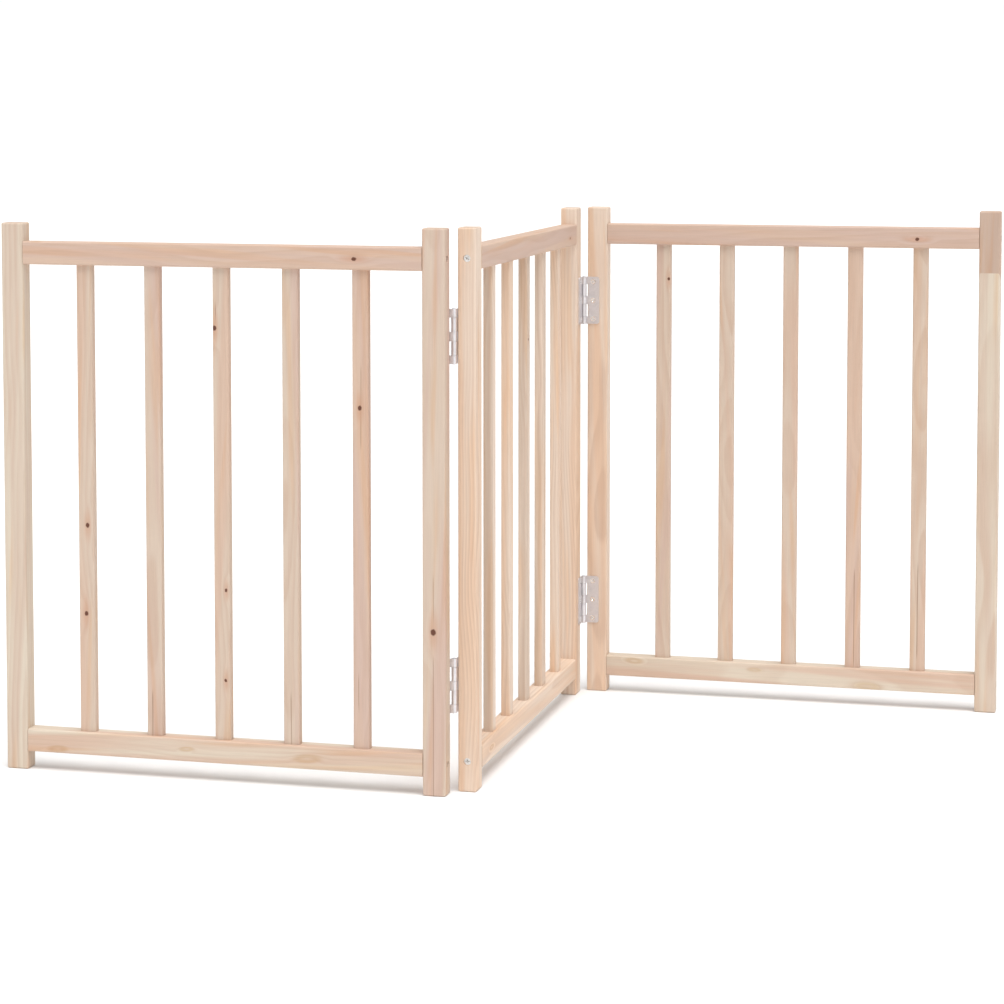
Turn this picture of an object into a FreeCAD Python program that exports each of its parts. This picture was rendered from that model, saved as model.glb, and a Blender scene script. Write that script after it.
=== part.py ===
import FreeCAD, Part
import math
import os

# A folding pet gate: three slatted wooden panels joined by steel butt hinges, standing in a Z.
# Millimetres, +Z up. The origin is on the floor under the middle of the middle panel.
# The outer panels run along X and the middle panel along Y. Turned half a turn about Z,
# the gate looks the same.

# Panels
panel_width = 500.0
panel_height = 600.0
post_width = 25.0
post_depth = 20.0
post_edge_radius = 2.0
rail_height = 25.0
rail_depth = 20.0
rail_edge_radius = 2.0
rail_inset = 20.0  # from a post's end to the outer side of the rail
slat_count = 5
slat_width = 18.0
slat_thickness = 10.0
slat_edge_radius = 2.0
mortise_depth = 10.0
mortise_clearance = 0.1  # on each side of a slat

# The short length glued on top of the right panel's outer post
splice_drop = 73.0  # from the post's top to the glue line
finger_length = 10.0
finger_pitch = 4.0

# Hinges
hinge_height = 58.0
hinge_inset = 114.5  # from a post's end to the hinge's middle
hinge_gap = 7.0  # between two panels' posts when the gate stands in one line
leaf_reach = 18.5  # from the pin's axis to the leaf's outer edge
leaf_thickness = 1.5
leaf_corner_radius = 3.0
leaf_edge_radius = 0.3
notch_reach = 5.0  # from the pin's axis to the leaf's edge beside the other leaf's knuckle
roll_gap = 0.3  # between the end of the rolled knuckle and its own leaf
inner_knuckle_height = 15.0  # the two knuckles of the middle panel's leaf
centre_knuckle_height = 10.0
knuckle_clearance = 0.2  # between two knuckles, along the pin
pin_radius = 1.5
pin_clearance = 0.05  # radial, pin to knuckle bore
pin_head_radius = 2.3
pin_head_height = 0.7

# Hinge screws
leaf_screw_reach = 11.0  # from the pin's axis to a screw's axis
leaf_screw_inset = 6.0  # from the leaf's end to the first screw
leaf_screw_length = 15.0
leaf_screw_head_radius = 3.2
leaf_screw_shank_radius = 1.7

# Rail screws
rail_screw_length = 50.0
rail_screw_head_radius = 3.8
rail_screw_shank_radius = 2.1
counterbore_radius = 4.1
counterbore_depth = 2.0

# Cross recess of a screw, as shares of its head's radius
recess_reach = 0.62
recess_slot = 0.26
recess_depth = 0.50
recess_floor = 0.25

# Sizes worked out from the ones above
knuckle_radius = pin_radius + pin_clearance + leaf_thickness
bore_radius = pin_radius + pin_clearance
rail_length = panel_width - 2 * post_width
slat_gap = (rail_length - slat_count * slat_width) / (slat_count + 1)
bottom_rail_z = rail_inset
top_rail_z = panel_height - rail_inset - rail_height
pin_x = post_depth / 2 + knuckle_radius
pin_y = panel_width / 2 + hinge_gap / 2
hinge_middles = {"lower": hinge_inset, "upper": panel_height - hinge_inset}

up = FreeCAD.Vector(0, 0, 1)
half_turn = FreeCAD.Placement(FreeCAD.Vector(), FreeCAD.Rotation(up, 180))


def moved(shape, placement):
    """A copy of the shape, moved by the placement."""
    copy = shape.copy()
    copy.Placement = placement.multiply(copy.Placement)
    return copy


def board(length_x, length_y, length_z, edge_radius, edges="all"):
    """A board with one corner at the origin and rounded edges: all of them, or those along one axis."""
    solid = Part.makeBox(length_x, length_y, length_z)
    chosen = solid.Edges
    if edges != "all":
        axis = {"x": 0, "z": 2}[edges]
        chosen = [e for e in solid.Edges if abs(e.tangentAt(e.FirstParameter)[axis]) > 0.9]
    return solid.makeFillet(edge_radius, chosen)


# ---------------------------------------------------------------- screws


def cross_recess(head_radius):
    """The tapered cross that a screwdriver fits, cut from the top of a head at z = 0."""
    reach = recess_reach * head_radius
    slot = recess_slot * head_radius
    depth = recess_depth * head_radius
    cone = Part.makeCone(recess_floor * reach, reach, depth, FreeCAD.Vector(0, 0, -depth))
    blade = Part.makeBox(2 * reach, slot, depth, FreeCAD.Vector(-reach, -slot / 2, -depth))
    crossed = moved(blade, FreeCAD.Placement(FreeCAD.Vector(), FreeCAD.Rotation(up, 90)))
    return cone.common(blade.fuse(crossed))


def screw_blank(head_radius, shank_radius, length):
    """A countersunk wood screw with no recess. Its head's top is at z = 0 and its point is below."""
    head_height = head_radius - shank_radius
    point_height = 3 * shank_radius
    profile = [
        FreeCAD.Vector(0, 0, 0),
        FreeCAD.Vector(head_radius, 0, 0),
        FreeCAD.Vector(shank_radius, 0, -head_height),
        FreeCAD.Vector(shank_radius, 0, point_height - length),
        FreeCAD.Vector(0, 0, -length),
        FreeCAD.Vector(0, 0, 0),
    ]
    return Part.Face(Part.makePolygon(profile)).revolve(FreeCAD.Vector(), up, 360)


def screw_place(x, y, z, outward, turn):
    """Where a screw goes: the top of its head at x, y, z, facing outward, turned about its axis."""
    facing = FreeCAD.Rotation(up, outward)
    return FreeCAD.Placement(FreeCAD.Vector(x, y, z), facing.multiply(FreeCAD.Rotation(up, turn)))


def drive_screws(places, head_radius, shank_radius, length):
    """The screws at these places, and the solids of the holes they fill."""
    blank = screw_blank(head_radius, shank_radius, length)
    finished = blank.cut(cross_recess(head_radius))
    screws = [moved(finished, place) for place in places]
    holes = [moved(blank, place) for place in places]
    return screws, holes


# ---------------------------------------------------------------- hinges


def knuckle_heights():
    """The height of each knuckle from the bottom: three of the outer panel's leaf, two of the middle's."""
    end = (hinge_height - 2 * inner_knuckle_height - centre_knuckle_height) / 2
    return [end, inner_knuckle_height, centre_knuckle_height, inner_knuckle_height, end]


def rolled_knuckle(bottom, height):
    """A strip of the leaf rolled round the pin's bore, from its tangent to just short of the leaf."""
    roll_end = math.asin((bore_radius - roll_gap) / knuckle_radius)

    def at(radius, angle):
        return FreeCAD.Vector(radius * math.cos(angle), radius * math.sin(angle), bottom)

    start = math.pi / 2
    end = 2 * math.pi + roll_end
    middle = (start + end) / 2
    inner_corner = FreeCAD.Vector(notch_reach, bore_radius, bottom)
    outer_corner = FreeCAD.Vector(notch_reach, knuckle_radius, bottom)
    outer_arc = Part.Arc(at(knuckle_radius, start), at(knuckle_radius, middle), at(knuckle_radius, end))
    inner_arc = Part.Arc(at(bore_radius, end), at(bore_radius, middle), at(bore_radius, start))
    edges = [
        outer_arc.toShape(),
        Part.makeLine(at(knuckle_radius, end), at(bore_radius, end)),
        inner_arc.toShape(),
        Part.makeLine(at(bore_radius, start), inner_corner),
        Part.makeLine(inner_corner, outer_corner),
        Part.makeLine(outer_corner, at(knuckle_radius, start)),
    ]
    return Part.Face(Part.Wire(edges)).extrude(up * height)


def leaf_plate():
    """The flat part of a leaf, with rounded outer corners and a softened outer face."""
    width = leaf_reach - notch_reach
    corner = FreeCAD.Vector(notch_reach, bore_radius, -hinge_height / 2)
    plate = Part.makeBox(width, leaf_thickness, hinge_height, corner)
    outer_edges = [
        e
        for e in plate.Edges
        if e.CenterOfMass.x > leaf_reach - leaf_edge_radius and abs(e.tangentAt(0).y) > 0.9
    ]
    plate = plate.makeFillet(leaf_corner_radius, outer_edges)
    rim = [
        e
        for e in plate.Edges
        if abs(e.BoundBox.YMax - bore_radius) < 0.01 and e.CenterOfMass.x > notch_reach + 0.01
    ]
    return plate.makeFillet(leaf_edge_radius, rim)


def hinge_leaf(is_outer_leaf):
    """A leaf round a pin on the Z axis. It reaches along +X and lies against wood on its +Y side."""
    leaf = leaf_plate()
    bottom = -hinge_height / 2
    for number, height in enumerate(knuckle_heights()):
        own = (number % 2 == 0) == is_outer_leaf
        clearance = 0 if is_outer_leaf else knuckle_clearance
        if own:
            leaf = leaf.fuse(rolled_knuckle(bottom + clearance, height - 2 * clearance))
        bottom += height
    return leaf.removeSplitter()


def hinge_pin():
    """The pin, with both ends peened over the end knuckles."""
    half = hinge_height / 2
    pin = Part.makeCylinder(pin_radius, hinge_height, FreeCAD.Vector(0, 0, -half))
    top = Part.makeCone(pin_head_radius, pin_radius, pin_head_height, FreeCAD.Vector(0, 0, half))
    low_end = FreeCAD.Vector(0, 0, -half - pin_head_height)
    foot = Part.makeCone(pin_radius, pin_head_radius, pin_head_height, low_end)
    return pin.fuse([top, foot]).removeSplitter()


def right_hinge(middle_z):
    """One hinge of the right joint: both leaves, the pin, and where each leaf's screws go."""
    at_pin = FreeCAD.Placement(FreeCAD.Vector(pin_x, pin_y, middle_z), FreeCAD.Rotation())
    outer_leaf = moved(hinge_leaf(True), at_pin)
    # The middle panel's leaf is the mirror image, turned to reach along -Y against wood on its -X side.
    mirrored = hinge_leaf(False).mirror(FreeCAD.Vector(), FreeCAD.Vector(0, 1, 0))
    quarter_back = FreeCAD.Placement(FreeCAD.Vector(), FreeCAD.Rotation(up, -90))
    middle_leaf = moved(moved(mirrored, quarter_back), at_pin)
    pin = moved(hinge_pin(), at_pin)
    screw_span = hinge_height / 2 - leaf_screw_inset
    heights = [middle_z - screw_span, middle_z, middle_z + screw_span]
    outer_face = pin_y + bore_radius
    middle_face = pin_x - bore_radius
    outer_places = []
    middle_places = []
    for number, z in enumerate(heights):
        turn = 25 + 40 * number
        outer_x = pin_x + leaf_screw_reach
        middle_y = pin_y - leaf_screw_reach
        outer_places.append(screw_place(outer_x, outer_face, z, FreeCAD.Vector(0, -1, 0), turn))
        middle_places.append(screw_place(middle_face, middle_y, z, FreeCAD.Vector(1, 0, 0), turn))
    return outer_leaf, middle_leaf, pin, outer_places, middle_places


# ---------------------------------------------------------------- wooden panels


def post(at_width):
    """A post with all its edges eased, at this distance along the panel."""
    solid = board(post_width, post_depth, panel_height, post_edge_radius)
    return moved(solid, FreeCAD.Placement(FreeCAD.Vector(at_width, 0, 0), FreeCAD.Rotation()))


def slat_starts():
    """Where each slat begins along the panel, at even gaps between the posts."""
    return [post_width + slat_gap + n * (slat_width + slat_gap) for n in range(slat_count)]


def slat(at_width):
    """A flat slat that reaches the floor of its mortise in both rails."""
    bottom = bottom_rail_z + rail_height - mortise_depth
    length = top_rail_z + mortise_depth - bottom
    solid = board(slat_width, slat_thickness, length, slat_edge_radius, "z")
    corner = FreeCAD.Vector(at_width, (post_depth - slat_thickness) / 2, bottom)
    return moved(solid, FreeCAD.Placement(corner, FreeCAD.Rotation()))


def mortise(at_width, bottom):
    """The hole that a slat's end fits, with its clearance on all four sides."""
    width = slat_width + 2 * mortise_clearance
    thickness = slat_thickness + 2 * mortise_clearance
    solid = board(width, thickness, mortise_depth, slat_edge_radius + mortise_clearance, "z")
    corner = FreeCAD.Vector(at_width - mortise_clearance, (post_depth - thickness) / 2, bottom)
    return moved(solid, FreeCAD.Placement(corner, FreeCAD.Rotation()))


def rail(bottom, mortise_bottom):
    """A rail between the posts, with a mortise for each slat."""
    solid = board(rail_length, rail_depth, rail_height, rail_edge_radius, "x")
    corner = FreeCAD.Vector(post_width, (post_depth - rail_depth) / 2, bottom)
    solid = moved(solid, FreeCAD.Placement(corner, FreeCAD.Rotation()))
    return solid.cut([mortise(start, mortise_bottom) for start in slat_starts()])


def panel(rail_screw_turns):
    """One panel's wood and rail screws, with a corner at the origin, along +X, its hinged face at y = 0."""
    rail_middles = [bottom_rail_z + rail_height / 2, top_rail_z + rail_height / 2]
    sides = [(0.0, -1), (panel_width, 1)]
    places = []
    counterbores = []
    for end_x, direction in sides:
        for z in rail_middles:
            outward = FreeCAD.Vector(direction, 0, 0)
            mouth = FreeCAD.Vector(end_x, post_depth / 2, z)
            head = mouth - outward * counterbore_depth
            turn = rail_screw_turns[len(places)]
            places.append(screw_place(head.x, head.y, head.z, outward, turn))
            counterbores.append(Part.makeCylinder(counterbore_radius, counterbore_depth, head, outward))
    screws, holes = drive_screws(
        places, rail_screw_head_radius, rail_screw_shank_radius, rail_screw_length
    )
    cuts = counterbores + holes
    pieces = {
        "first_post": post(0.0).cut(cuts),
        "last_post": post(panel_width - post_width).cut(cuts),
        "bottom_rail": rail(bottom_rail_z, bottom_rail_z + rail_height - mortise_depth).cut(holes),
        "top_rail": rail(top_rail_z, top_rail_z).cut(holes),
        "rail_screws": Part.makeCompound(screws),
    }
    for number, start in enumerate(slat_starts()):
        pieces[f"slat_{number + 1}"] = slat(start)
    return pieces


def placed_panel(placement, rail_screw_turns, names):
    """A panel moved into place, with its posts given their own names."""
    pieces = panel(rail_screw_turns)
    return {names.get(name, name): moved(shape, placement) for name, shape in pieces.items()}


# The right panel's outer post is two lengths of wood, finger-jointed and glued


def finger_cut_above(near_x):
    """The space above a zigzag joint that shows as a straight line on the panel's two faces."""
    joint_z = panel_height - splice_drop
    near_y = pin_y + knuckle_radius
    fingers = max(1, round(post_depth / finger_pitch))
    step = post_depth / fingers / 2
    margin = post_edge_radius
    outline = [FreeCAD.Vector(near_x - margin, near_y - margin, joint_z)]
    for number in range(2 * fingers + 1):
        z = joint_z - finger_length * (number % 2)
        outline.append(FreeCAD.Vector(near_x - margin, near_y + number * step, z))
    outline.append(FreeCAD.Vector(near_x - margin, near_y + post_depth + margin, joint_z))
    above = panel_height + margin
    outline.append(FreeCAD.Vector(near_x - margin, near_y + post_depth + margin, above))
    outline.append(FreeCAD.Vector(near_x - margin, near_y - margin, above))
    outline.append(outline[0])
    reach = FreeCAD.Vector(post_width + 2 * margin, 0, 0)
    return Part.Face(Part.makePolygon(outline)).extrude(reach)


# ---------------------------------------------------------------- the whole gate

nodes = {}

# Each panel's four rail screws were left at the angle at which they came tight
middle_place = FreeCAD.Placement(
    FreeCAD.Vector(post_depth / 2, -panel_width / 2, 0), FreeCAD.Rotation(up, 90)
)
outer_place = FreeCAD.Placement(
    FreeCAD.Vector(pin_x + hinge_gap / 2, pin_y + knuckle_radius, 0), FreeCAD.Rotation()
)
middle = placed_panel(middle_place, [10, 55, 70, 35], {"first_post": "near_post", "last_post": "far_post"})
right = placed_panel(outer_place, [20, 65, 40, 80], {"first_post": "hinge_post", "last_post": "outer_post"})
left = placed_panel(
    half_turn.multiply(outer_place), [75, 30, 15, 50], {"first_post": "hinge_post", "last_post": "outer_post"}
)

# Hinges and their screws: the left joint is the right joint turned half a turn about the origin
outer_screw_places = []
middle_screw_places = []
for level, middle_z in hinge_middles.items():
    outer_leaf, middle_leaf, pin, outer_places, middle_places = right_hinge(middle_z)
    outer_screw_places.extend(outer_places)
    middle_screw_places.extend(middle_places)
    hinge = {"outer_leaf": outer_leaf, "middle_leaf": middle_leaf, "pin": pin}
    for name, shape in hinge.items():
        nodes[f"right_{level}_hinge_{name}"] = shape
        nodes[f"left_{level}_hinge_{name}"] = moved(shape, half_turn)

screw_sizes = (leaf_screw_head_radius, leaf_screw_shank_radius, leaf_screw_length)
left_outer_places = [half_turn.multiply(place) for place in outer_screw_places]
left_middle_places = [half_turn.multiply(place) for place in middle_screw_places]
right_screws, right_holes = drive_screws(outer_screw_places, *screw_sizes)
left_screws, left_holes = drive_screws(left_outer_places, *screw_sizes)
far_screws, far_holes = drive_screws(middle_screw_places, *screw_sizes)
near_screws, near_holes = drive_screws(left_middle_places, *screw_sizes)

# The screws' holes in the leaves and in the posts behind them
for level in hinge_middles:
    for side, outer_holes, middle_holes in (
        ("right", right_holes, far_holes),
        ("left", left_holes, near_holes),
    ):
        for name, holes in (("outer_leaf", outer_holes), ("middle_leaf", middle_holes)):
            node = f"{side}_{level}_hinge_{name}"
            nodes[node] = nodes[node].cut(holes)
right["hinge_post"] = right["hinge_post"].cut(right_holes)
left["hinge_post"] = left["hinge_post"].cut(left_holes)
middle["far_post"] = middle["far_post"].cut(far_holes)
middle["near_post"] = middle["near_post"].cut(near_holes)
right["hinge_screws"] = Part.makeCompound(right_screws)
left["hinge_screws"] = Part.makeCompound(left_screws)
middle["hinge_screws"] = Part.makeCompound(far_screws + near_screws)

# The spliced post
outer_post_x = pin_x + hinge_gap / 2 + panel_width - post_width
above_joint = finger_cut_above(outer_post_x)
whole_post = right["outer_post"]
right["outer_post"] = whole_post.cut(above_joint)
right["outer_post_top"] = whole_post.common(above_joint)

for side, pieces in (("left", left), ("middle", middle), ("right", right)):
    for name, shape in pieces.items():
        nodes[f"{side}_{name}"] = shape

os.makedirs("parts", exist_ok=True)
for name, shape in sorted(nodes.items()):
    shape.exportStep(f"parts/{name}.step")
    print(f"{name}: {len(shape.Solids)} solid(s), {shape.Volume / 1000:.2f} cm3, valid {shape.isValid()}")
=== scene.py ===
import math
import random
import bpy
from mathutils import Matrix, Vector


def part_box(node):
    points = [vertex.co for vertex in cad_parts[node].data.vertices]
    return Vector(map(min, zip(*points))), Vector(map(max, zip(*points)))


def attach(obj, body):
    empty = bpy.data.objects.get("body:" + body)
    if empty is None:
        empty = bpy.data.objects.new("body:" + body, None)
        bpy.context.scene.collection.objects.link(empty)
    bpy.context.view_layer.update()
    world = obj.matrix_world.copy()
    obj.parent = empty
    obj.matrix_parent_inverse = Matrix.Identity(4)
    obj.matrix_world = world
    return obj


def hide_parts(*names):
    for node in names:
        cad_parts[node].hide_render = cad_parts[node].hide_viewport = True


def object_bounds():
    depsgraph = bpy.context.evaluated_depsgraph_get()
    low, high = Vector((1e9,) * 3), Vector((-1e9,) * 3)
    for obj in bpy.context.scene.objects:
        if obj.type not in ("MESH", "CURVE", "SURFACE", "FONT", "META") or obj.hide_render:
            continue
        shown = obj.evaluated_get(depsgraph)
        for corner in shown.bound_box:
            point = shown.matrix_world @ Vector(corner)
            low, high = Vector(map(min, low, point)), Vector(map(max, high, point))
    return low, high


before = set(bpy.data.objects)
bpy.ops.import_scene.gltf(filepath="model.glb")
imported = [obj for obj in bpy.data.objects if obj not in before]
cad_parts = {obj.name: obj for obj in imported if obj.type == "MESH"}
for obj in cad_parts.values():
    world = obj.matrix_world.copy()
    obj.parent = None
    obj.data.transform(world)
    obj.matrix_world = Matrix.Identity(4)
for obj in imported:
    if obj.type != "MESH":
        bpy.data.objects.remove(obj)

cad_low, cad_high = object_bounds()
mm = 0.001

# ---------------------------------------------------------------- posts
# Six upright posts of bare planed pine, 25 by 20 mm, with every edge sanded round. A rail screw
# goes through each post at both rails, its head sunk in a counterbore on the post's outer side.
# Pilot holes for the hinge screws are drilled behind the hinge leaves.

post_edge_radius = 2.0 * mm
counterbore_radius = 4.1 * mm
counterbore_depth = 2.0 * mm
rail_screw_head_radius = 3.8 * mm
rail_screw_shank_radius = 2.1 * mm
leaf_screw_reach = 11.0 * mm       # from the pin's axis to a hinge screw's axis
leaf_screw_inset = 6.0 * mm        # from the leaf's end to its first screw
leaf_screw_shank_radius = 1.7 * mm
knuckle_radius = 3.05 * mm
pilot_depth = 14.0 * mm
screw_play = 0.05 * mm             # around a screw's head
rim_round = 0.25 * mm
overshoot = 1.0 * mm               # how far a cutting tool reaches past the wood

axis_number = {"X": 0, "Y": 1, "Z": 2}
# Each panel's boards: the axis that they face along, and the axis that the rails run along
panel_axes = {"left": ("Y", "X"), "middle": ("X", "Y"), "right": ("Y", "X")}


def pick_only(piece):
    """Makes this the one selected and active object."""
    bpy.ops.object.select_all(action="DESELECT")
    piece.select_set(True)
    bpy.context.view_layer.objects.active = piece


def settle(piece, name):
    """Names the piece, and moves its place, turn and size into its mesh."""
    piece.name = name
    pick_only(piece)
    bpy.ops.object.transform_apply(location=True, rotation=True, scale=True)
    return piece


def block(low, high, name):
    """A rectangular block between two corners."""
    bpy.ops.object.select_all(action="DESELECT")
    bpy.ops.mesh.primitive_cube_add(size=1, location=(low + high) / 2, scale=high - low)
    return settle(bpy.context.object, name)


def rod(start, end, radius, name, end_radius=None):
    """A round rod from start to end, or a cone where the end has its own radius."""
    way = end - start
    bpy.ops.object.select_all(action="DESELECT")
    bpy.ops.mesh.primitive_cone_add(
        vertices=48,
        radius1=radius,
        radius2=radius if end_radius is None else end_radius,
        depth=way.length,
        location=(start + end) / 2,
        rotation=way.to_track_quat("Z", "Y").to_euler(),
    )
    return settle(bpy.context.object, name)


def edit_selected(piece, mode, wanted):
    """Opens the piece in edit mode with the points, edges or faces selected that are wanted."""
    pick_only(piece)
    bpy.ops.object.mode_set(mode="EDIT")
    bpy.ops.mesh.select_mode(type=mode)
    bpy.ops.mesh.select_all(action="DESELECT")
    bpy.ops.object.mode_set(mode="OBJECT")
    points = piece.data.vertices
    if mode == "VERT":
        for point in points:
            point.select = wanted(point.co)
    elif mode == "EDGE":
        for edge in piece.data.edges:
            start, end = (points[number].co for number in edge.vertices)
            edge.select = wanted(start, end)
    else:
        for face in piece.data.polygons:
            face.select = wanted(face.center, face.normal)
    bpy.ops.object.mode_set(mode="EDIT")


def board(low, high, name, long_axis, edge_radius, ends_too=False):
    """A board with its long edges rounded, and its ends' edges too where it stands open."""
    piece = block(low, high, name)
    along = axis_number[long_axis]

    def runs_lengthwise(start, end):
        return abs((end - start).normalized()[along]) > 0.99

    edit_selected(piece, "EDGE", lambda start, end: ends_too or runs_lengthwise(start, end))
    bpy.ops.mesh.bevel(offset=edge_radius, segments=5, affect="EDGES")
    bpy.ops.object.mode_set(mode="OBJECT")
    return piece


def carve(piece, tool, operation="DIFFERENCE"):
    """Cuts the piece with the tool, which is then thrown away."""
    cut = piece.modifiers.new("cut", "BOOLEAN")
    cut.operation = operation
    cut.solver = "EXACT"
    cut.object = tool
    pick_only(piece)
    bpy.ops.object.modifier_apply(modifier=cut.name)
    bpy.data.objects.remove(tool, do_unlink=True)


def soften(piece, width, sharpest=40):
    """A small round on each edge that turns by more than this, and shading that keeps flats flat."""
    rims = piece.modifiers.new("rims", "BEVEL")
    rims.width = width
    rims.segments = 2
    rims.limit_method = "ANGLE"
    rims.angle_limit = math.radians(sharpest)
    pick_only(piece)
    bpy.ops.object.modifier_apply(modifier=rims.name)
    bpy.ops.object.shade_smooth_by_angle(angle=math.radians(sharpest))
    flats = piece.modifiers.new("flats", "WEIGHTED_NORMAL")
    flats.keep_sharp = True
    bpy.ops.object.modifier_apply(modifier=flats.name)


def hand_over(piece, node, body, slot, material):
    """The finished piece takes its material, stands for its CAD node and rides on its body."""
    piece.data.materials.clear()
    piece.data.materials.append(material)
    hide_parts(node)
    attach(piece, body)


class Finish:
    """A material that is built up from shader nodes, one at a time."""

    def __init__(self, name):
        self.material = bpy.data.materials.new(name)
        self.material.use_nodes = True
        self.tree = self.material.node_tree
        self.tree.nodes.clear()

    def add(self, kind, inputs=(), **settings):
        """Adds a node. Each input is a number, a colour or another node's output."""
        node = self.tree.nodes.new(kind)
        for key, value in settings.items():
            setattr(node, key, value)
        for socket, value in dict(inputs).items():
            if isinstance(value, bpy.types.NodeSocket):
                self.tree.links.new(value, node.inputs[socket])
            elif value is not None:
                node.inputs[socket].default_value = value
        return node

    def math(self, operation, first, second=None):
        return self.add("ShaderNodeMath", {0: first, 1: second}, operation=operation).outputs[0]

    def vector(self, operation, first, second=None):
        node = self.add("ShaderNodeVectorMath", {0: first, 1: second}, operation=operation)
        return node.outputs["Value" if operation == "LENGTH" else "Vector"]

    def fade(self, value, start, end, low=0.0, high=1.0):
        """Low up to start and high from end on, with a smooth step between."""
        limits = {"Value": value, "From Min": start, "From Max": end, "To Min": low, "To Max": high}
        return self.add("ShaderNodeMapRange", limits, interpolation_type="SMOOTHSTEP").outputs[0]

    def noise(self, place, scale, shift, detail=2.0, roughness=0.5):
        """Noise from 0 to 1, with so many waves to the metre along each axis."""
        moved = self.add("ShaderNodeMapping", {"Vector": place, "Scale": scale, "Location": shift})
        settings = {"Vector": moved.outputs[0], "Scale": 1.0, "Detail": detail, "Roughness": roughness}
        return self.add("ShaderNodeTexNoise", settings).outputs["Fac"]

    def blend(self, amount, first, second, mode="MIX"):
        """The first colour, turning into the second as the amount goes from 0 to 1."""
        inputs = {0: amount}
        for socket, value in ((6, first), (7, second)):
            inputs[socket] = value if isinstance(value, bpy.types.NodeSocket) else (*value, 1.0)
        return self.add("ShaderNodeMix", inputs, data_type="RGBA", blend_type=mode).outputs[2]

    def done(self, shader):
        output = self.add("ShaderNodeOutputMaterial")
        self.tree.links.new(shader.outputs[0], output.inputs["Surface"])
        return self.material


# Bare pine. Growth rings lie round a pith outside the board, and broad streaks of cream, peach and
# rose run along it with the fine fibre over them.
cream = (0.610, 0.490, 0.395)
peach = (0.610, 0.445, 0.345)
rose = (0.580, 0.425, 0.352)
straw = (0.650, 0.560, 0.455)
pale_cream = (0.740, 0.600, 0.490)
pale_peach = (0.740, 0.545, 0.405)
late_wood = (0.480, 0.305, 0.210)
warmer = (1.00, 0.88, 0.76)
honey = (0.86, 0.75, 0.60)
hairline_brown = (0.300, 0.170, 0.115)
end_wood = (0.560, 0.420, 0.320)
knot_heart = (0.130, 0.050, 0.030)
knot_glow = (0.520, 0.270, 0.165)
ring_spacing = 2.8 * mm


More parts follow.
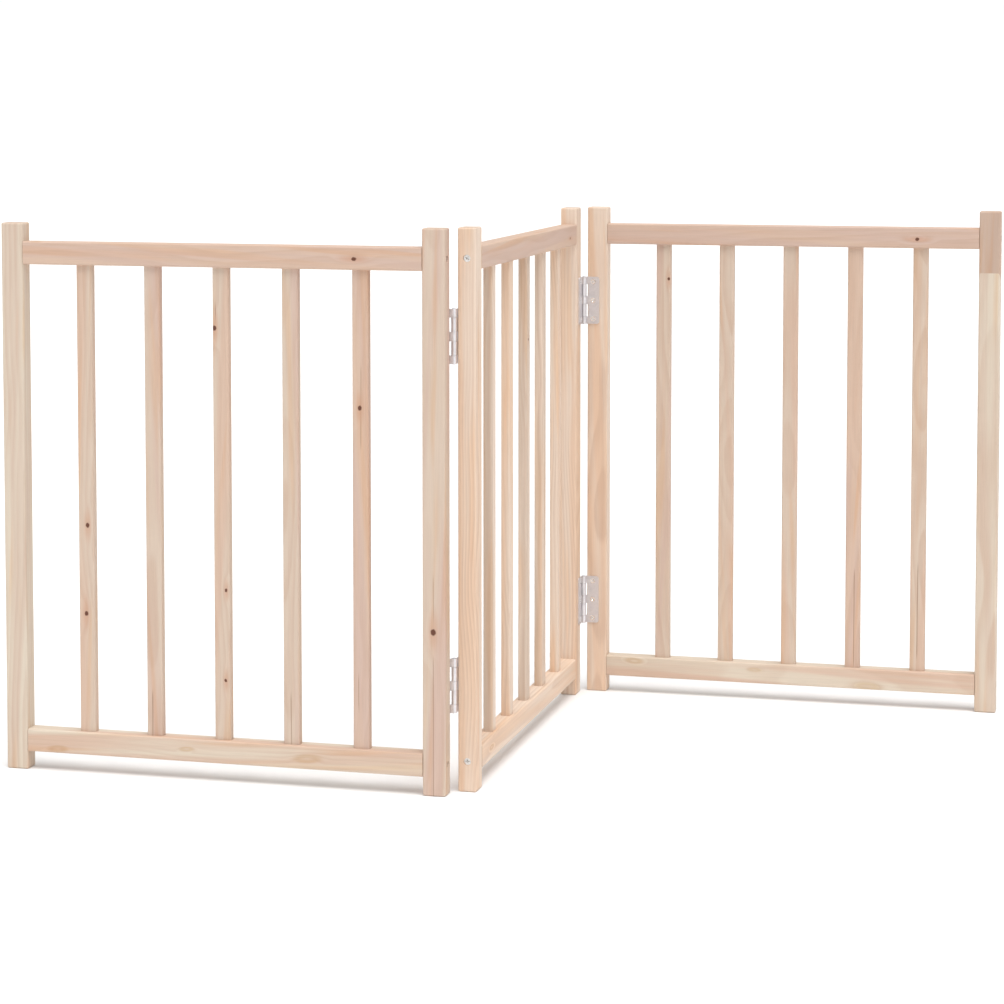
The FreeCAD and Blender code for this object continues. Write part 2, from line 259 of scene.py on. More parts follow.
def pine(name, low, high, axes, tones, rings=0.34, knots=(), hairlines=(), swirls=()):
    """Bare pine for one board. Axes are those of its width, its face's normal and its length.

    A knot is (across, along, radius), a hairline is (across, from, to) and a swirl, where the rings
    come up to the face, is (across, along, half its length), all from the board's middle.
    """
    rng = random.Random(name)
    seed = Vector((rng.uniform(0, 40), rng.uniform(0, 40), rng.uniform(0, 40)))
    wood = Finish(name)
    half_length = (high - low)[axis_number[axes[2]]] / 2
    place = wood.add("ShaderNodeTexCoord").outputs["Object"]
    place = wood.vector("SUBTRACT", place, (low + high) / 2)
    split = wood.add("ShaderNodeSeparateXYZ", {0: place}).outputs
    across, facing, along = (split[axis] for axis in axes)
    grain = wood.add("ShaderNodeCombineXYZ", {0: across, 1: facing, 2: along}).outputs[0]

    # The same place, with a sideways lean that grows along the board
    slant = wood.math("MULTIPLY", along, rng.uniform(-0.07, 0.07))
    sideways = wood.math("ADD", across, slant)
    slanted = wood.add("ShaderNodeCombineXYZ", {0: sideways, 1: facing, 2: along}).outputs[0]

    # Distance from the pith, which wanders along the board and swings out round each knot
    pith = Vector((rng.uniform(-30, 30) * mm, rng.choice((-1, 1)) * rng.uniform(18, 60) * mm, 0))
    from_pith = wood.vector("MULTIPLY", wood.vector("SUBTRACT", grain, pith), (1, 1, 0))
    lean = wood.math("MULTIPLY", along, rng.uniform(-0.012, 0.012))
    wander = wood.noise(grain, (16, 16, 4.5), seed, detail=1.0)
    ripple = wood.noise(grain, (80, 80, 8), seed * 1.7)
    radius = wood.math("ADD", wood.vector("LENGTH", from_pith), lean)
    radius = wood.math("ADD", radius, wood.math("MULTIPLY", wander, 0.026))
    radius = wood.math("ADD", radius, wood.math("MULTIPLY", ripple, 0.0012))
    heart = glow = None
    for knot_across, knot_along, knot_radius in knots:
        offset = wood.vector("SUBTRACT", grain, (knot_across, 0, knot_along))
        swing = wood.vector("LENGTH", wood.vector("MULTIPLY", offset, (1, 0, 0.28)))
        bulge = wood.fade(swing, 0.0, 4.0 * knot_radius, 2.0 * knot_radius, 0.0)
        radius = wood.math("ADD", radius, bulge)
        edge = wood.noise(grain, (600, 600, 600), seed)
        edge = wood.math("MULTIPLY", wood.math("SUBTRACT", edge, 0.5), 0.0014)
        distance = wood.vector("LENGTH", wood.vector("MULTIPLY", offset, (1, 0, 0.8)))
        distance = wood.math("ADD", distance, edge)
        this_heart = wood.fade(distance, 0.65 * knot_radius, 1.1 * knot_radius, 1.0, 0.0)
        tail = wood.vector("LENGTH", wood.vector("MULTIPLY", offset, (1, 0, 0.24)))
        this_glow = wood.fade(tail, 0.3 * knot_radius, 2.6 * knot_radius, 1.0, 0.0)
        heart = this_heart if heart is None else wood.math("MAXIMUM", heart, this_heart)
        glow = this_glow if glow is None else wood.math("MAXIMUM", glow, this_glow)
    swirl = None
    for swirl_across, swirl_along, swirl_reach in swirls:
        offset = wood.vector("SUBTRACT", slanted, (swirl_across, 0, swirl_along))
        distance = wood.vector("LENGTH", wood.vector("MULTIPLY", offset, (3.2, 0, 1)))
        distance = wood.math("ADD", distance, wood.math("MULTIPLY", ripple, 0.35 * swirl_reach))
        radius = wood.math("ADD", radius, wood.fade(distance, 0.0, 1.6 * swirl_reach, 8 * mm, 0.0))
        rim = wood.fade(distance, 0.55 * swirl_reach, 1.15 * swirl_reach, 1.0, 0.0)
        paler_inside = wood.fade(distance, 0.1 * swirl_reach, 0.9 * swirl_reach, 0.35, 1.0)
        rim = wood.math("MULTIPLY", rim, paler_inside)
        swirl = rim if swirl is None else wood.math("MAXIMUM", swirl, rim)
    spacing = ring_spacing * rng.uniform(1.1, 2.0)
    turns = wood.math("FRACT", wood.math("DIVIDE", radius, spacing))
    late = wood.math("MULTIPLY", wood.fade(turns, 0.1, 0.85), wood.fade(turns, 0.86, 1.0, 1.0, 0.0))

    # Broad streaks and warm flames that slant a little, narrow streaks, fibre, and the short dark
    # lines of resin canals
    broad = wood.noise(slanted, (60, 60, 2.6), seed * 0.6, detail=1.5)
    flame = wood.noise(slanted, (95, 95, 4.5), seed * 4.1, detail=1.5)
    narrow = wood.noise(grain, (260, 260, 3.5), seed * 2.9)
    patch = wood.noise(grain, (18, 18, 4.0), seed * 2.3)
    fibre = wood.noise(grain, (1600, 1600, 30), seed * 3.1, detail=3.0, roughness=0.65)
    canals = wood.noise(grain, (420, 420, 11), seed * 1.3)
    colour = wood.blend(wood.fade(broad, 0.40, 0.60), tones[0], tones[1])
    colour = wood.blend(wood.fade(flame, 0.52, 0.70, 0.0, 0.8), colour, warmer, mode="MULTIPLY")
    if swirls:
        colour = wood.blend(wood.math("MULTIPLY", swirl, 0.9), colour, honey, mode="MULTIPLY")
    shown = wood.math("MULTIPLY", wood.fade(patch, 0.3, 0.7, 0.25, 1.0), rings)
    colour = wood.blend(wood.math("MULTIPLY", late, shown), colour, late_wood)
    colour = wood.blend(wood.fade(narrow, 0.52, 0.75, 0.0, 0.16), colour, late_wood)
    colour = wood.blend(wood.fade(canals, 0.66, 0.76, 0.0, 0.18), colour, late_wood)
    for line_across, line_from, line_to in hairlines:
        wobble = wood.math("MULTIPLY", wood.math("SUBTRACT", ripple, 0.5), 0.002)
        distance = wood.math("ADD", wood.math("SUBTRACT", across, line_across), wobble)
        line = wood.fade(wood.math("ABSOLUTE", distance), 0.2 * mm, 0.8 * mm, 0.75, 0.0)
        line = wood.math("MULTIPLY", line, wood.fade(along, line_from, line_from + 15 * mm))
        line = wood.math("MULTIPLY", line, wood.fade(along, line_to - 15 * mm, line_to, 1.0, 0.0))
        line = wood.math("MULTIPLY", line, wood.fade(patch, 0.35, 0.55, 0.6, 1.0))
        colour = wood.blend(line, colour, hairline_brown)
    if knots:
        colour = wood.blend(wood.math("MULTIPLY", glow, 0.5), colour, knot_glow)
        colour = wood.blend(heart, colour, knot_heart)
    shade = wood.fade(fibre, 0.25, 0.75, 0.95, 1.04)
    shade = wood.add("ShaderNodeCombineXYZ", {0: shade, 1: shade, 2: shade}).outputs[0]
    colour = wood.blend(1.0, colour, shade, mode="MULTIPLY")

    # Sawn ends are duller and show the rings more plainly
    end = wood.math("ABSOLUTE", along)
    end = wood.fade(end, half_length - 0.6 * mm, half_length - 0.1 * mm, 0.0, 0.8)
    end_colour = wood.blend(wood.math("MULTIPLY", late, 0.5), end_wood, late_wood)
    colour = wood.blend(end, colour, end_colour)

    relief = wood.math("ADD", wood.math("MULTIPLY", fibre, 0.6), wood.math("MULTIPLY", late, 0.4))
    bump = wood.add("ShaderNodeBump", {"Strength": 0.25, "Distance": 0.0004, "Height": relief})
    roughness = wood.fade(fibre, 0.2, 0.8, 0.50, 0.66)
    shader = wood.add(
        "ShaderNodeBsdfPrincipled",
        {"Base Color": colour, "Roughness": roughness, "Normal": bump.outputs[0]},
    )
    shader.inputs["Specular IOR Level"].default_value = 0.3
    return wood.done(shader)


def at_pin(pin_middle, turn):
    """The move that takes a leaf from a pin on the Z axis to its own pin, with this turn."""
    return Matrix.Translation(pin_middle) @ Matrix.Rotation(math.radians(turn), 4, "Z")


# Where each hinge leaf lies. On its own pin it reaches along +X, with the wood on its +Y side if its
# hand is 1 and on its -Y side if it is -1. The left joint is the right one turned half a turn.
leaf_places = {}
for side, half_turn, middle_post in (("right", 0, "middle_far_post"), ("left", 180, "middle_near_post")):
    for level in ("lower", "upper"):
        hinge = f"{side}_{level}_hinge"
        pin_middle = sum(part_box(f"{hinge}_pin"), Vector()) / 2
        outer_move = at_pin(pin_middle, half_turn)
        middle_move = at_pin(pin_middle, half_turn - 90)
        leaf_places[f"{hinge}_outer_leaf"] = (outer_move, 1, f"{side}_hinge_post", f"{side}_panel")
        leaf_places[f"{hinge}_middle_leaf"] = (middle_move, -1, middle_post, "middle_panel")

leaf_low, leaf_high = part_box("right_upper_hinge_outer_leaf")
leaf_height = leaf_high.z - leaf_low.z
screw_span = leaf_height / 2 - leaf_screw_inset
screw_heights = (-screw_span, 0.0, screw_span)

post_tones = {
    "left_outer_post": (straw, cream),
    "left_hinge_post": (cream, rose),
    "middle_near_post": (pale_cream, pale_peach),
    "middle_far_post": (pale_peach, pale_cream),
    "right_hinge_post": (pale_cream, pale_peach),
    "right_outer_post": (straw, cream),
}
post_knots = {"left_hinge_post": [(-0.5 * mm, -125 * mm, 3.2 * mm)]}
post_hairlines = {"left_hinge_post": [(-0.5 * mm, -120 * mm, -60 * mm), (-0.5 * mm, -310 * mm, -145 * mm)]}

posts = {}
rail_screw_places = {"left": [], "middle": [], "right": []}
for side, (face_axis, run_axis) in panel_axes.items():
    run = axis_number[run_axis]
    rail_middles = [sum(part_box(f"{side}_{which}_rail"), Vector()) / 2 for which in ("bottom", "top")]
    for end_name in ("near_post", "far_post") if side == "middle" else ("outer_post", "hinge_post"):
        node = f"{side}_{end_name}"
        low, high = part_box(node)
        high.z = cad_high.z
        post = board(low, high, f"{node}_wood", "Z", post_edge_radius, ends_too=True)
        outward = Vector()
        outward[run] = math.copysign(1, low[run] - rail_middles[0][run])
        thickness = high[run] - low[run]
        for rail_middle in rail_middles:
            mouth = (low + high) / 2 + outward * thickness / 2
            mouth.z = rail_middle.z
            outside = mouth + outward * overshoot
            seat = mouth - outward * counterbore_depth
            beyond = mouth - outward * (thickness + overshoot)
            hole_radius = rail_screw_shank_radius + screw_play
            carve(post, rod(outside, seat, counterbore_radius, "counterbore"))
            carve(post, rod(outside, beyond, hole_radius, "drill"))
            # The countersink's slope is one in one, so it starts as far out as it is wider
            flare = counterbore_radius - rail_screw_head_radius - 2 * screw_play
            wide = rail_screw_head_radius + screw_play + flare
            neck = seat - outward * (rail_screw_head_radius - rail_screw_shank_radius)
            carve(post, rod(seat + outward * flare, neck, wide, "countersink", hole_radius))
            rail_screw_places[side].append((seat, outward))
        for move, hand, screwed_post, body in leaf_places.values():
            if screwed_post == node:
                for height in screw_heights:
                    start = move @ Vector((leaf_screw_reach, hand * (knuckle_radius - overshoot), height))
                    end = move @ Vector((leaf_screw_reach, hand * (knuckle_radius + pilot_depth), height))
                    carve(post, rod(start, end, leaf_screw_shank_radius + screw_play, "pilot drill"))
        posts[node] = post

# The right outer post is finished below, because it is spliced
for node, post in posts.items():
    if node != "right_outer_post":
        side = node.split("_")[0]
        face_axis, run_axis = panel_axes[side]
        low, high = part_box(node)
        soften(post, rim_round)
        wood = pine(
            f"pine {node}",
            low,
            high,
            (run_axis, face_axis, "Z"),
            post_tones[node],
            knots=post_knots.get(node, ()),
            hairlines=post_hairlines.get(node, ()),
        )
        hand_over(post, node, f"{side}_panel", "pine", wood)

# ---------------------------------------------------------------- spliced post
# The right outer post is two lengths of pine, finger-jointed and glued near its top. The fingers
# show as a zigzag on its two sides and as a straight line on its front and back.

dark_tones = ((0.520, 0.385, 0.305), (0.490, 0.355, 0.280))
finger_pitch = 4.0 * mm
glue_round = 0.08 * mm

low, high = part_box("right_outer_post")
top_low, top_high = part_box("right_outer_post_top")
glue_line = high.z
finger_length = high.z - top_low.z
fingers = round((high.y - low.y) / finger_pitch)
step = (high.y - low.y) / fingers / 2
margin = Vector((overshoot, overshoot, 0))
above = Vector((0, 0, overshoot))
comb = block(Vector((low.x, low.y, glue_line)) - margin, top_high + margin + above, "comb")
finger_lines = [low.y + number * step for number in range(2 * fingers + 1)]
for line in finger_lines:
    edit_selected(comb, "FACE", lambda centre, normal: True)
    bpy.ops.mesh.bisect(plane_co=(0, line, 0), plane_no=(0, 1, 0))
    bpy.ops.object.mode_set(mode="OBJECT")
tips = finger_lines[1::2]
edit_selected(
    comb,
    "VERT",
    lambda point: point.z < glue_line + step and min(abs(point.y - tip) for tip in tips) < step / 4,
)
bpy.ops.transform.translate(value=(0, 0, -finger_length))
bpy.ops.object.mode_set(mode="OBJECT")

lower_length = posts["right_outer_post"]
upper_length = lower_length.copy()
upper_length.data = lower_length.data.copy()
upper_length.name = "right_outer_post_top_wood"
bpy.context.scene.collection.objects.link(upper_length)
second_comb = comb.copy()
second_comb.data = comb.data.copy()
bpy.context.scene.collection.objects.link(second_comb)
carve(lower_length, comb)
carve(upper_length, second_comb, "INTERSECT")
for piece, node, slot, tones in (
    (lower_length, "right_outer_post", "pine", post_tones["right_outer_post"]),
    (upper_length, "right_outer_post_top", "darker_pine", dark_tones),
):
    soften(piece, glue_round)
    low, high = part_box(node)
    wood = pine(f"pine {node}", low, high, ("X", "Y", "Z"), tones, rings=0.35)
    hand_over(piece, node, "right_panel", slot, wood)

# ---------------------------------------------------------------- rails
# Two rails to a panel, 25 by 20 mm, butted between the posts and pulled tight by the rail screws.
# Their long edges are sanded round. Each has a 10 mm deep mortise for every slat.

rail_edge_radius = 2.0 * mm
slat_edge_radius = 2.0 * mm
slat_count = 5
mortise_clearance = 0.1 * mm
rail_screw_length = 50.0 * mm

rail_knots = {
    "left_top_rail": [(-0.9 * mm, 151 * mm, 2.4 * mm)],
    "right_top_rail": [(-1.5 * mm, 152 * mm, 2.2 * mm)],
    "middle_top_rail": [(-2.5 * mm, 190 * mm, 1.6 * mm)],
}
rail_tones = {
    "left_bottom_rail": (straw, peach),
    "right_bottom_rail": (straw, peach),
    "middle_bottom_rail": (pale_cream, pale_peach),
}
long_swirls = [(1 * mm, -190 * mm, 17 * mm), (3 * mm, -40 * mm, 12 * mm), (-5 * mm, 97 * mm, 22 * mm)]
rail_swirls = {
    "left_bottom_rail": long_swirls,
    "right_bottom_rail": long_swirls,
    "middle_bottom_rail": [(1 * mm, -185 * mm, 14 * mm)],
    "left_top_rail": [(0.0, -212 * mm, 12 * mm)],
}
for side, (face_axis, run_axis) in panel_axes.items():
    run = axis_number[run_axis]
    for which in ("bottom", "top"):
        node = f"{side}_{which}_rail"
        low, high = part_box(node)
        rail = board(low, high, f"{node}_wood", run_axis, rail_edge_radius)
        room = Vector((mortise_clearance, mortise_clearance, 0))
        for number in range(1, slat_count + 1):
            slat_low, slat_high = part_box(f"{side}_slat_{number}")
            corner_radius = slat_edge_radius + mortise_clearance
            carve(rail, board(slat_low - room, slat_high + room, "mortise", "Z", corner_radius))
        for seat, outward in rail_screw_places[side]:
            if low.z < seat.z < high.z:
                end = seat - outward * (rail_screw_length + overshoot)
                carve(rail, rod(seat, end, rail_screw_shank_radius + screw_play, "drill"))
        soften(rail, rim_round)
        tones = rail_tones.get(node, (cream, peach) if which == "bottom" else (peach, rose))
        wood = pine(
            f"pine {node}",
            low,
            high,
            ("Z", face_axis, run_axis),
            tones,
            knots=rail_knots.get(node, ()),
            swirls=rail_swirls.get(node, ()),
        )
        hand_over(rail, node, f"{side}_panel", "pine", wood)

# ---------------------------------------------------------------- slats
# Five flat slats to a panel, 18 by 10 mm, with their long edges sanded round. Each stands in the
# middle of the panel's depth, glued into its mortise in both rails.

slat_tones = [(cream, peach), (cream, rose), (peach, rose)]
pale_slat_tones = [(pale_cream, pale_peach), (pale_cream, cream)]
slat_hairlines = {
    "left_slat_4": [(-2.5 * mm, -265 * mm, -200 * mm)],
    "left_slat_2": [(-0.5 * mm, -265 * mm, -195 * mm)],
    "left_slat_3": [(-5.5 * mm, 192 * mm, 222 * mm)],
    "left_slat_1": [(-2.5 * mm, -220 * mm, -170 * mm), (0.8 * mm, 60 * mm, 160 * mm)],
    "right_slat_4": [(2.0 * mm, -260 * mm, -130 * mm)],
    "right_slat_5": [(0.0, -245 * mm, -120 * mm)],
    "middle_slat_2": [(2.0 * mm, -60 * mm, 20 * mm)],
}
slat_knots = {
    "left_slat_5": [(1.8 * mm, -28 * mm, 2.4 * mm), (-0.5 * mm, -125 * mm, 2.4 * mm)],
    "left_slat_3": [
        (-6.6 * mm, 190 * mm, 2.6 * mm),
        (4.7 * mm, -92 * mm, 1.7 * mm),
        (3.7 * mm, -190 * mm, 1.7 * mm),
    ],
    "left_slat_1": [(-0.5 * mm, 109 * mm, 2.4 * mm)],
    "right_slat_1": [(6.5 * mm, 213 * mm, 1.8 * mm)],
    "middle_slat_3": [(0.0, 160 * mm, 1.5 * mm)],
}
for side, (face_axis, run_axis) in panel_axes.items():
    for number in range(1, slat_count + 1):
        node = f"{side}_slat_{number}"
        low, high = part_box(node)
        slat = board(low, high, f"{node}_wood", "Z", slat_edge_radius)
        soften(slat, rim_round)
        tones = random.Random(node).choice(pale_slat_tones if side == "middle" else slat_tones)
        wood = pine(
            f"pine {node}",
            low,
            high,
            (run_axis, face_axis, "Z"),
            tones,
            knots=slat_knots.get(node, ()),
            hairlines=slat_hairlines.get(node, ()),
        )
        hand_over(slat, node, f"{side}_panel", "pine", wood)

# ---------------------------------------------------------------- hinge leaves
# Four butt hinges of zinc-plated steel sheet, 1.5 mm thick. Each leaf is one strip whose tongues are
# rolled round the pin: three on the outer panel's leaf and two on the middle panel's. The outer
# corners are rounded, and three countersunk holes take the screws.

leaf_thickness = 1.5 * mm
leaf_corner_radius = 3.0 * mm
notch_reach = 5.0 * mm            # from the pin's axis to the sheet between two tongues
roll_gap = 0.3 * mm               # between the end of a rolled tongue and the sheet
inner_knuckle_height = 15.0 * mm
centre_knuckle_height = 10.0 * mm
knuckle_clearance = 0.2 * mm
leaf_screw_head_radius = 3.2 * mm
leaf_rim_round = 0.2 * mm
roll_steps = 30

bore_radius = knuckle_radius - leaf_thickness
sheet_middle = bore_radius + leaf_thickness / 2
pin_low, pin_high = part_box("right_upper_hinge_pin")
leaf_reach = leaf_high.x - (pin_low.x + pin_high.x) / 2


def zinc(name, colour, roughness, grain_size):
    """Zinc plating: satin, with a faint crystal pattern, slight clouding and fine handling marks."""
    plate = Finish(name)
    place = plate.add("ShaderNodeTexCoord").outputs["Object"]
    crystals = plate.add("ShaderNodeTexVoronoi", {"Vector": place, "Scale": grain_size}).outputs["Color"]
    crystals = plate.add("ShaderNodeSeparateColor", {0: crystals}).outputs[0]
    clouds = plate.noise(place, (90, 90, 90), (3, 5, 7), detail=3.0)
    scratches = plate.noise(place, (2600, 2600, 180), (11, 2, 9), detail=2.0)
    darker = tuple(0.86 * part for part in colour)
    tint = plate.blend(plate.math("MULTIPLY", crystals, 0.35), colour, darker)
    tint = plate.blend(plate.fade(clouds, 0.35, 0.7, 0.0, 0.5), tint, darker)
    rough = plate.fade(clouds, 0.3, 0.7, roughness - 0.05, roughness + 0.07)
    rough = plate.math("ADD", rough, plate.fade(crystals, 0.0, 1.0, -0.03, 0.03))
    scratch_relief = plate.math("MULTIPLY", scratches, 0.5)
    relief = plate.math("ADD", scratch_relief, plate.math("MULTIPLY", crystals, 0.3))
    bump = plate.add("ShaderNodeBump", {"Strength": 0.12, "Distance": 0.0002, "Height": relief})
    shader = plate.add(
        "ShaderNodeBsdfPrincipled",
        {"Base Color": tint, "Roughness": rough, "Normal": bump.outputs[0]},
    )
    shader.inputs["Metallic"].default_value = 1.0
    return plate.done(shader)


def knuckle_spans(is_outer):
    """The bottom and top of each tongue that this leaf has, from the hinge's middle."""
    end_height = (leaf_height - 2 * inner_knuckle_height - centre_knuckle_height) / 2
    heights = [end_height, inner_knuckle_height, centre_knuckle_height, inner_knuckle_height, end_height]
    spans = []
    bottom = -leaf_height / 2
    for number, height in enumerate(heights):
        if (number % 2 == 0) == is_outer:
            play = 0 if is_outer else knuckle_clearance
            spans.append((bottom + play, bottom + height - play))
        bottom += height
    return spans


def hinge_leaf(name, hand):
    """A leaf on a pin that stands on the Z axis, reaching along +X."""
    bpy.ops.object.select_all(action="DESELECT")
    bpy.ops.mesh.primitive_plane_add(
        size=1,
        location=((notch_reach + leaf_reach) / 2, hand * sheet_middle, 0),
        rotation=(math.pi / 2, 0, 0),
    )
    bpy.context.object.scale = (leaf_reach - notch_reach, leaf_height, 1)
    leaf = settle(bpy.context.object, name)
    spans = knuckle_spans(hand == 1)
    for cut in [z for span in spans for z in span if abs(z) < leaf_height / 2 - leaf_corner_radius]:
        edit_selected(leaf, "FACE", lambda centre, normal: True)
        bpy.ops.mesh.bisect(plane_co=(0, 0, cut), plane_no=(0, 0, 1))
        bpy.ops.object.mode_set(mode="OBJECT")

    def starts_a_tongue(start, end):
        middle = (start + end) / 2
        beside_pin = abs(middle.x - notch_reach) < rim_round
        return beside_pin and any(low < middle.z < high for low, high in spans)

    edit_selected(leaf, "EDGE", starts_a_tongue)
    bpy.ops.mesh.extrude_edges_move(TRANSFORM_OT_translate={"value": (-notch_reach, 0, 0)})
    roll = 1.5 * math.pi + math.asin((bore_radius - roll_gap) / knuckle_radius)
    bpy.ops.mesh.spin(steps=roll_steps, angle=-hand * roll, center=(0, 0, 0), axis=(0, 0, 1))
    bpy.ops.object.mode_set(mode="OBJECT")

    def is_outer_corner(point):
        return point.x > leaf_reach - rim_round and abs(point.z) > leaf_height / 2 - rim_round

    edit_selected(leaf, "VERT", is_outer_corner)
    bpy.ops.mesh.bevel(offset=leaf_corner_radius, segments=6, affect="VERTICES")
    bpy.ops.mesh.select_all(action="SELECT")
    bpy.ops.mesh.remove_doubles(threshold=0.001 * mm)
    bpy.ops.mesh.normals_make_consistent(inside=False)
    bpy.ops.object.mode_set(mode="OBJECT")
    sheet = leaf.modifiers.new("sheet", "SOLIDIFY")
    sheet.thickness = leaf_thickness
    sheet.offset = 0
    sheet.use_even_offset = True
    pick_only(leaf)
    bpy.ops.object.modifier_apply(modifier=sheet.name)
    for height in screw_heights:
        face = Vector((leaf_screw_reach, hand * bore_radius, height))
        into_wood = Vector((0, hand, 0))
        play = into_wood * overshoot
        slope = (leaf_screw_head_radius - leaf_screw_shank_radius) / leaf_thickness
        wide = leaf_screw_head_radius + screw_play + slope * overshoot
        narrow = leaf_screw_shank_radius + screw_play - slope * overshoot
        carve(leaf, rod(face - play, face + into_wood * leaf_thickness + play, wide, "countersink", narrow))
    soften(leaf, leaf_rim_round)
    return leaf


hinge_steel = zinc("hinge steel", (0.78, 0.75, 0.76), 0.42, 700)
pattern_leaves = {1: hinge_leaf("pattern outer leaf", 1), -1: hinge_leaf("pattern middle leaf", -1)}


def copy_to(pattern, move, name):
    """A copy of the pattern with its own mesh, moved into place."""
    piece = pattern.copy()
    piece.data = pattern.data.copy()
    bpy.context.scene.collection.objects.link(piece)
    piece.matrix_world = move
    return settle(piece, name)


for node, (move, hand, screwed_post, body) in leaf_places.items():
    leaf = copy_to(pattern_leaves[hand], move, f"{node}_plate")
    hand_over(leaf, node, body, "hinge_steel", hinge_steel)
for pattern in pattern_leaves.values():
    bpy.data.objects.remove(pattern, do_unlink=True)

# ---------------------------------------------------------------- hinge pins
# A plain steel pin through the five knuckles of each hinge, with both ends hammered over into low
# domes. It is held in the outer panel's leaf.

pin_radius = 1.5 * mm
dome_radius = 2.3 * mm
dome_rim_round = 0.08 * mm


def draw_out(piece, end, way, radius, steps):
    """Draws the round end face out along way. Each step is how far, and the radius that it ends at."""
    nearest = min(piece.data.polygons, key=lambda face: (face.center - end).length)
    number = nearest.index
    centre = nearest.center.copy()
    edit_selected(piece, "FACE", lambda middle, normal: (middle - centre).length < 0.001 * mm)
    for distance, next_radius in steps:
        bpy.ops.mesh.extrude_region_move(TRANSFORM_OT_translate={"value": way * distance})
        end = end + way * distance
        scale = next_radius / radius
        bpy.ops.transform.resize(value=(scale, scale, scale), center_override=end)
        radius = next_radius
    bpy.ops.object.mode_set(mode="OBJECT")


pin_half = leaf_height / 2
dome_height = (pin_high.z - pin_low.z - leaf_height) / 2
pattern_pin = rod(Vector((0, 0, -pin_half)), Vector((0, 0, pin_half)), pin_radius, "pattern pin")
for direction in (1, -1):
    way = Vector((0, 0, direction))
    dome = [
        (0.0, dome_radius),
        (0.35 * dome_height, dome_radius),
        (0.35 * dome_height, 0.80 * dome_radius),
        (0.20 * dome_height, 0.50 * dome_radius),
        (0.10 * dome_height, 0.15 * dome_radius),
    ]
    draw_out(pattern_pin, way * pin_half, way, pin_radius, dome)
soften(pattern_pin, dome_rim_round)
pin_steel = zinc("pin steel", (0.76, 0.75, 0.78), 0.28, 900)
for side in ("right", "left"):
    for level in ("lower", "upper"):
        node = f"{side}_{level}_hinge_pin"
        move = Matrix.Translation(sum(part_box(node), Vector()) / 2)
        pin = copy_to(pattern_pin, move, f"{node}_rod")
        hand_over(pin, node, f"{side}_panel", "hinge_steel", pin_steel)
bpy.data.objects.remove(pattern_pin, do_unlink=True)

# ---------------------------------------------------------------- hinge screws
# Twenty-four countersunk wood screws of zinc-plated steel, with a cross recess. Each fills its hole
# in a leaf and runs 13.5 mm into the post behind.

leaf_screw_length = 15.0 * mm
screw_rim_round = 0.1 * mm


def screw_pattern(name, head_radius, shank_radius, length):
    """A countersunk screw with the top of its head at the origin, facing +Z."""
    reach = 0.62 * head_radius
    slot = 0.26 * head_radius
    depth = 0.50 * head_radius
    recess_floor_reach = 0.25 * reach
    head_height = head_radius - shank_radius
    point_height = 3 * shank_radius
    down = Vector((0, 0, -1))
    screw = rod(Vector(), down * head_height, head_radius, name, shank_radius)
    shank = length - head_height - point_height
    body = [(shank, shank_radius), (point_height, 0.15 * shank_radius)]
    draw_out(screw, down * head_height, down, shank_radius, body)
    slope = (reach - recess_floor_reach) / depth
    outside = -down * overshoot
    cross = block(Vector((-reach, -slot / 2, -depth)), Vector((reach, slot / 2, overshoot)), "cross")
    blade = block(Vector((-slot / 2, -reach, -depth)), Vector((slot / 2, reach, overshoot)), "blade")
    carve(cross, blade, "UNION")
    taper = rod(outside, down * depth, reach + slope * overshoot, "taper", recess_floor_reach)
    carve(cross, taper, "INTERSECT")
    carve(screw, cross)
    soften(screw, screw_rim_round, 35)
    return screw


def drive(pattern, places, name):
    """One piece of all the screws at these places: the middle of the head, its way out and its turn."""
    screws = []
    for number, (head, outward, turn) in enumerate(places):
        facing = outward.to_track_quat("Z", "Y").to_matrix().to_4x4()
        move = Matrix.Translation(head) @ facing @ Matrix.Rotation(math.radians(turn), 4, "Z")
        screws.append(copy_to(pattern, move, f"{name}_{number + 1}"))
    bpy.ops.object.select_all(action="DESELECT")
    for screw in screws:
        screw.select_set(True)
    bpy.context.view_layer.objects.active = screws[0]
    bpy.ops.object.join()
    return settle(bpy.context.object, name)


leaf_screw = screw_pattern(
    "pattern leaf screw",
    leaf_screw_head_radius,
    leaf_screw_shank_radius,
    leaf_screw_length,
)
leaf_screw_zinc = zinc("hinge screw zinc", (0.96, 0.95, 0.94), 0.24, 1300)
for side in panel_axes:
    body = f"{side}_panel"
    places = []
    for move, hand, screwed_post, leaf_body in leaf_places.values():
        if leaf_body == body:
            outward = move.to_3x3() @ Vector((0, -hand, 0))
            for number, height in enumerate(screw_heights):
                head = move @ Vector((leaf_screw_reach, hand * bore_radius, height))
                places.append((head, outward, 25 + 40 * number))
    node = f"{side}_hinge_screws"
    hand_over(drive(leaf_screw, places, f"{node}_set"), node, body, "hinge_screw_zinc", leaf_screw_zinc)
bpy.data.objects.remove(leaf_screw, do_unlink=True)

# ---------------------------------------------------------------- rail screws
# Twelve longer countersunk screws, four to a panel, that pull the posts against the ends of the
# rails. Each was left at the angle at which it came tight.

rail_screw_turns = {"left": (15, 50, 75, 30), "middle": (10, 55, 70, 35), "right": (40, 80, 20, 65)}
rail_screw = screw_pattern(
    "pattern rail screw",
    rail_screw_head_radius,
    rail_screw_shank_radius,
    rail_screw_length,
)
rail_screw_zinc = zinc("rail screw zinc", (0.78, 0.77, 0.75), 0.36, 1100)
for side, seats in rail_screw_places.items():
    node = f"{side}_rail_screws"
    places = [(seat, outward, turn) for (seat, outward), turn in zip(seats, rail_screw_turns[side])]
    screws = drive(rail_screw, places, f"{node}_set")
    hand_over(screws, node, f"{side}_panel", "rail_screw_zinc", rail_screw_zinc)
bpy.data.objects.remove(rail_screw, do_unlink=True)

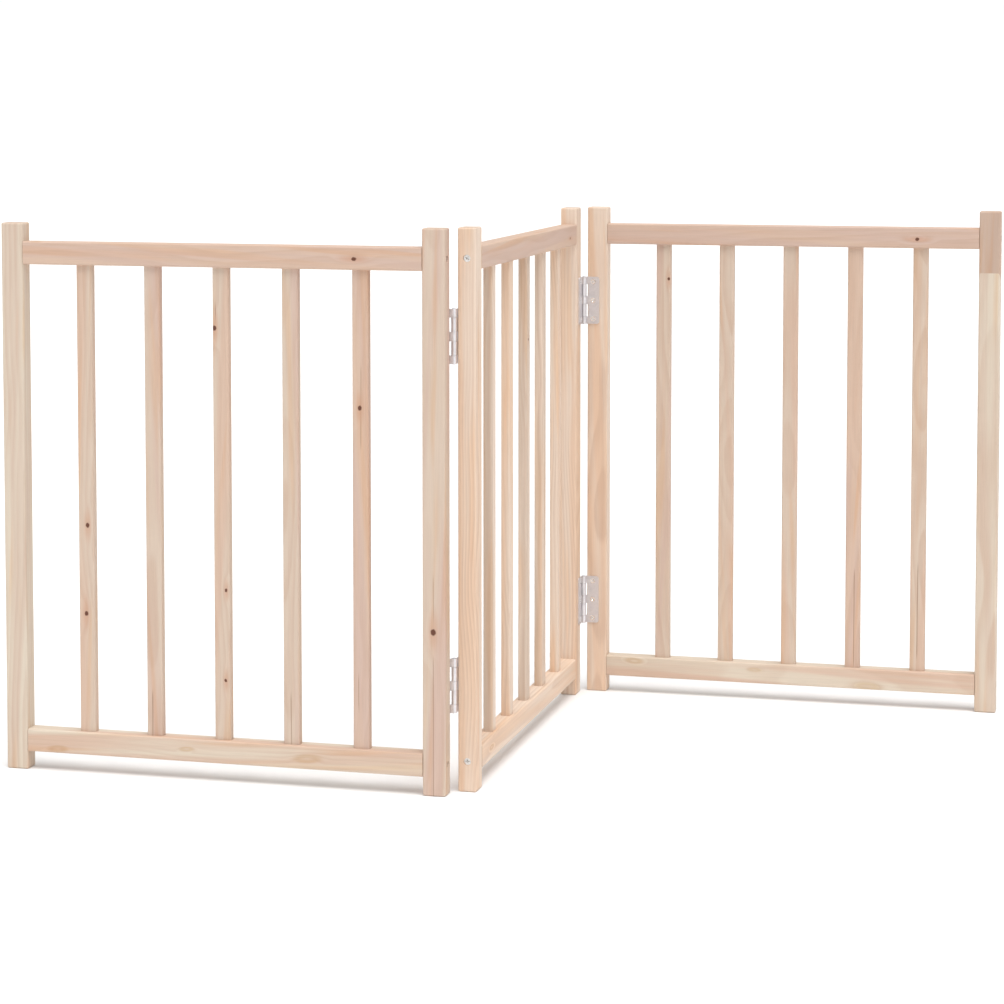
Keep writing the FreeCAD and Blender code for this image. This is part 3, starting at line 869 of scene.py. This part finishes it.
# ---------------------------------------------------------------- floor
# A plain pale studio floor of matt paint, with a very faint cloudiness. It is large enough to run
# out of sight on every side.

floor_reach = 60.0
bpy.ops.object.select_all(action="DESELECT")
bpy.ops.mesh.primitive_plane_add(size=2 * floor_reach, location=(0, 0, cad_low.z))
floor = settle(bpy.context.object, "floor")
paint = Finish("pale floor")
place = paint.add("ShaderNodeTexCoord").outputs["Object"]
cloud = paint.fade(paint.noise(place, (3, 3, 3), (0, 0, 0)), 0.3, 0.7, 0.89, 0.91)
shader = paint.add(
    "ShaderNodeBsdfPrincipled",
    {"Base Color": paint.add("ShaderNodeCombineXYZ", {0: cloud, 1: cloud, 2: cloud}).outputs[0]},
)
shader.inputs["Roughness"].default_value = 0.9
shader.inputs["Specular IOR Level"].default_value = 0.1
floor.data.materials.append(paint.done(shader))

# ---------------------------------------------------------------- light
# White studio walls that fade into a dimmer ceiling, and one very wide soft lamp overhead, which
# leans to the front and the right.

wall_brightness = 1.02
ceiling_brightness = 0.41
walls_end = 0.08                   # as the height on a sphere of radius one
ceiling_start = 0.30
lamp_strength = 3.3
lamp_width = 58                    # degrees across, seen from the gate
lamp_lean = 18                     # degrees from straight above
lamp_turn = 33                     # degrees from the front, towards the right

bpy.context.scene.view_settings.view_transform = "Standard"
world = bpy.data.worlds.new("white studio")
bpy.context.scene.world = world
world.use_nodes = True
studio = world.node_tree
height = studio.nodes.new("ShaderNodeSeparateXYZ")
studio.links.new(studio.nodes.new("ShaderNodeTexCoord").outputs["Generated"], height.inputs[0])
brightness = studio.nodes.new("ShaderNodeMapRange")
brightness.interpolation_type = "SMOOTHSTEP"
brightness.inputs["From Min"].default_value = walls_end
brightness.inputs["From Max"].default_value = ceiling_start
brightness.inputs["To Min"].default_value = wall_brightness
brightness.inputs["To Max"].default_value = ceiling_brightness
studio.links.new(height.outputs["Z"], brightness.inputs["Value"])
studio.links.new(brightness.outputs[0], studio.nodes["Background"].inputs["Strength"])
studio.nodes["Background"].inputs["Color"].default_value = (1.0, 1.0, 1.0, 1.0)

lamp_data = bpy.data.lights.new("overhead lamp", "SUN")
lamp_data.energy = lamp_strength
lamp_data.angle = math.radians(lamp_width)
lamp = bpy.data.objects.new("overhead lamp", lamp_data)
lamp.rotation_euler = (math.radians(lamp_lean), 0, math.radians(lamp_turn))
bpy.context.scene.collection.objects.link(lamp)

# ---------------------------------------------------------------- camera
# A little above the gate's top, three metres in front of it and to its right, looking slightly
# down on it.

camera_place = (0.7387, -2.9762, 0.7459)
camera_dip = 3.669                 # degrees below level
camera_turn = 14.41                # degrees to the left of straight ahead

camera_data = bpy.data.cameras.new("camera")
camera_data.sensor_width = 36.0
camera_data.lens = 96.83
camera_data.shift_y = -0.24
camera = bpy.data.objects.new("camera", camera_data)
camera.location = camera_place
camera.rotation_euler = (math.radians(90 - camera_dip), 0, math.radians(camera_turn))
bpy.context.scene.collection.objects.link(camera)
bpy.context.scene.camera = camera
